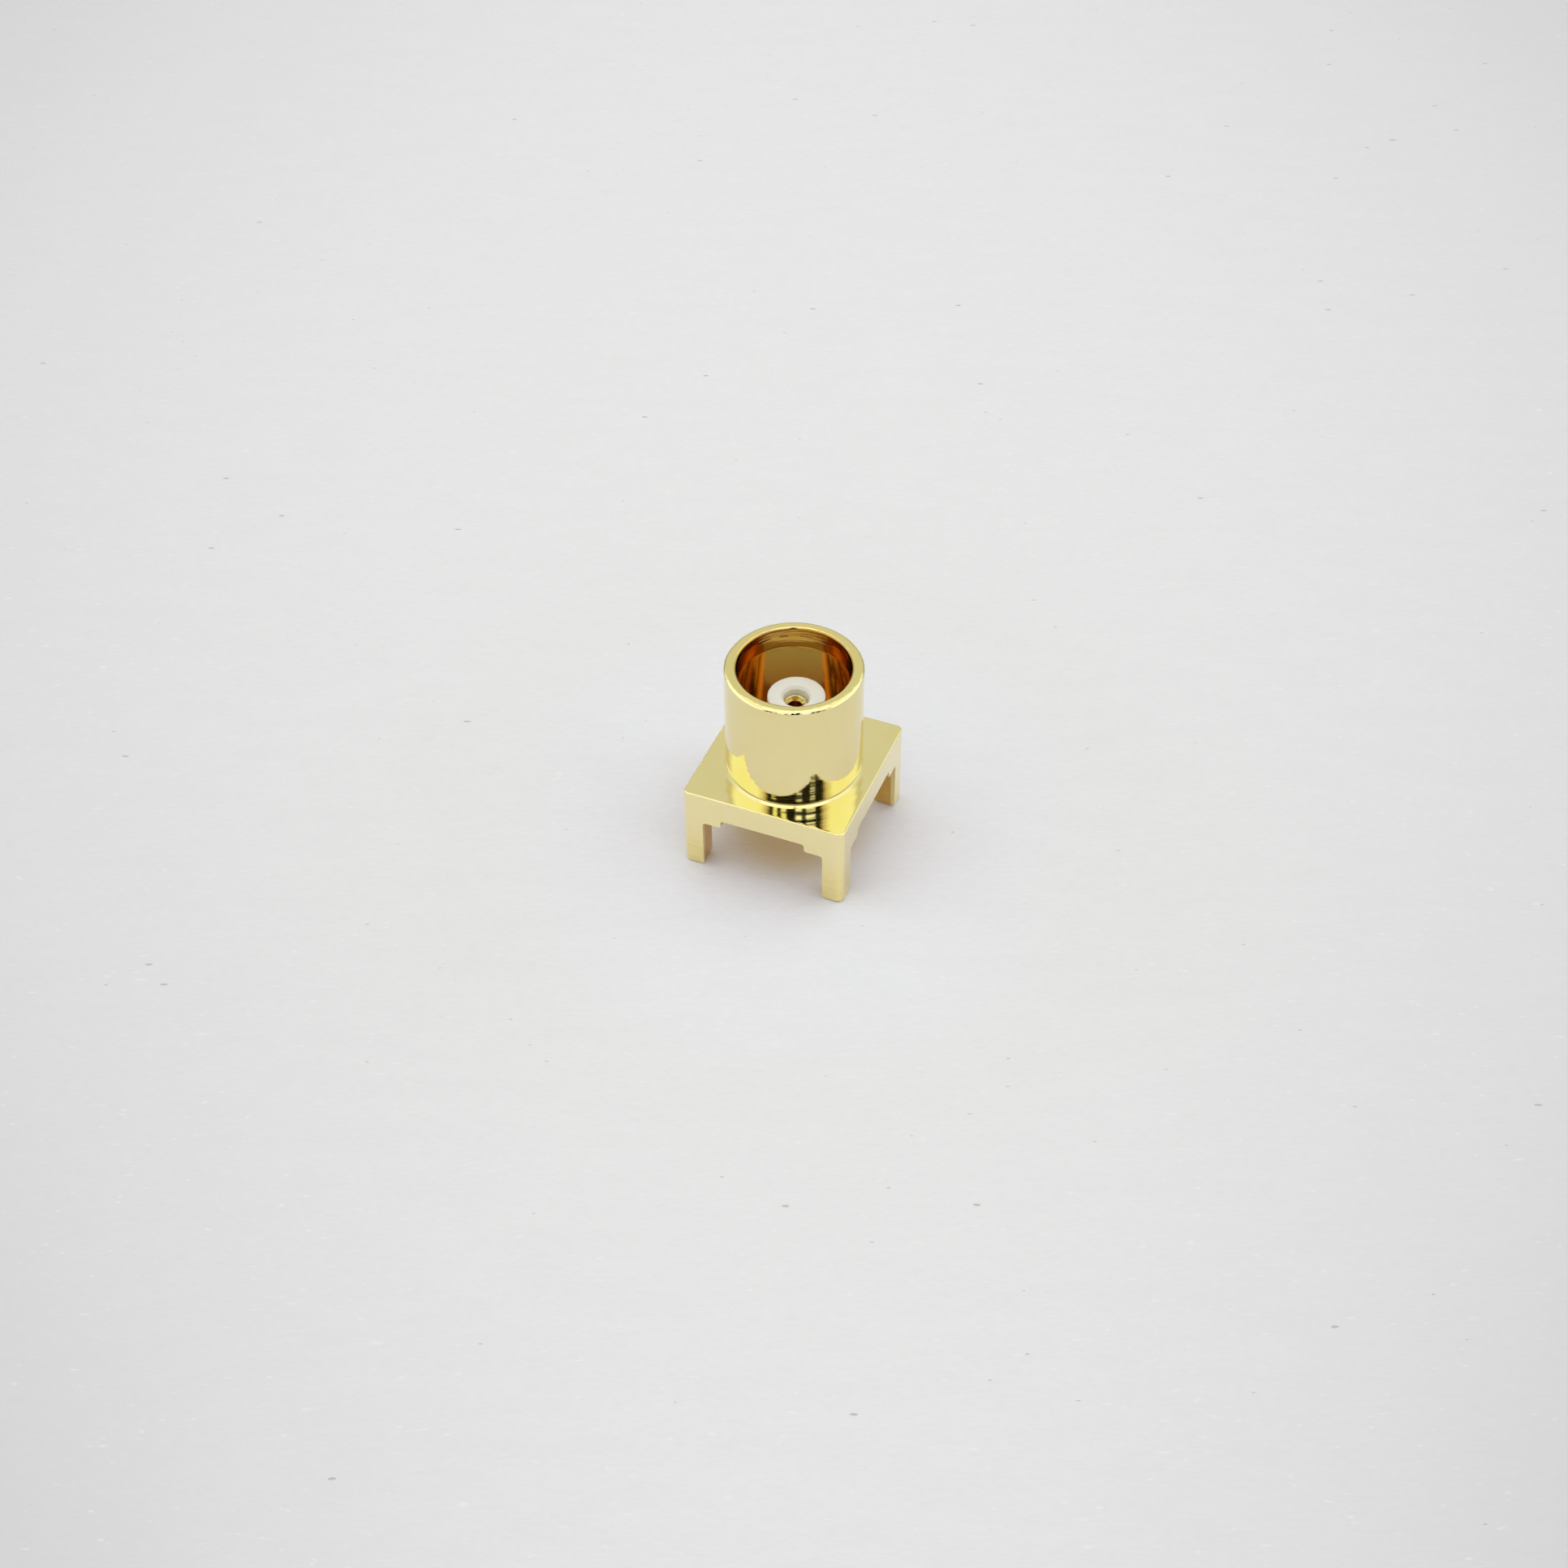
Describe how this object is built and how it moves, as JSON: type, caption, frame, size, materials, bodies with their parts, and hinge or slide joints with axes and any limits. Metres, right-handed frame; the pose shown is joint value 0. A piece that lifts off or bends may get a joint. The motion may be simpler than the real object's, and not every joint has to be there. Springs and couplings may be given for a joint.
{
  "type": "rf coaxial connector",
  "caption": "Straight female push-on coaxial jack with a square flange and corner legs for through-hole mounting on a circuit board.",
  "frame": {"origin": "centre of the four corner legs in the board plane, where the undersides of the corner pads rest on the board", "axes": "+Z along the mating axis, from the board towards the open mouth; X and Y across the sides of the square flange"},
  "size_m": [0.0052, 0.0052, 0.0066],
  "materials": {
    "body_gold": "bright gold plate over brass",
    "ptfe": "plain white fluoropolymer, turned",
    "contact_gold": "bright gold plate"
  },
  "bodies": {
    "root": {"connector_body": "body_gold", "insulator": "ptfe", "centre_contact": "contact_gold"}
  },
  "joints": []
}
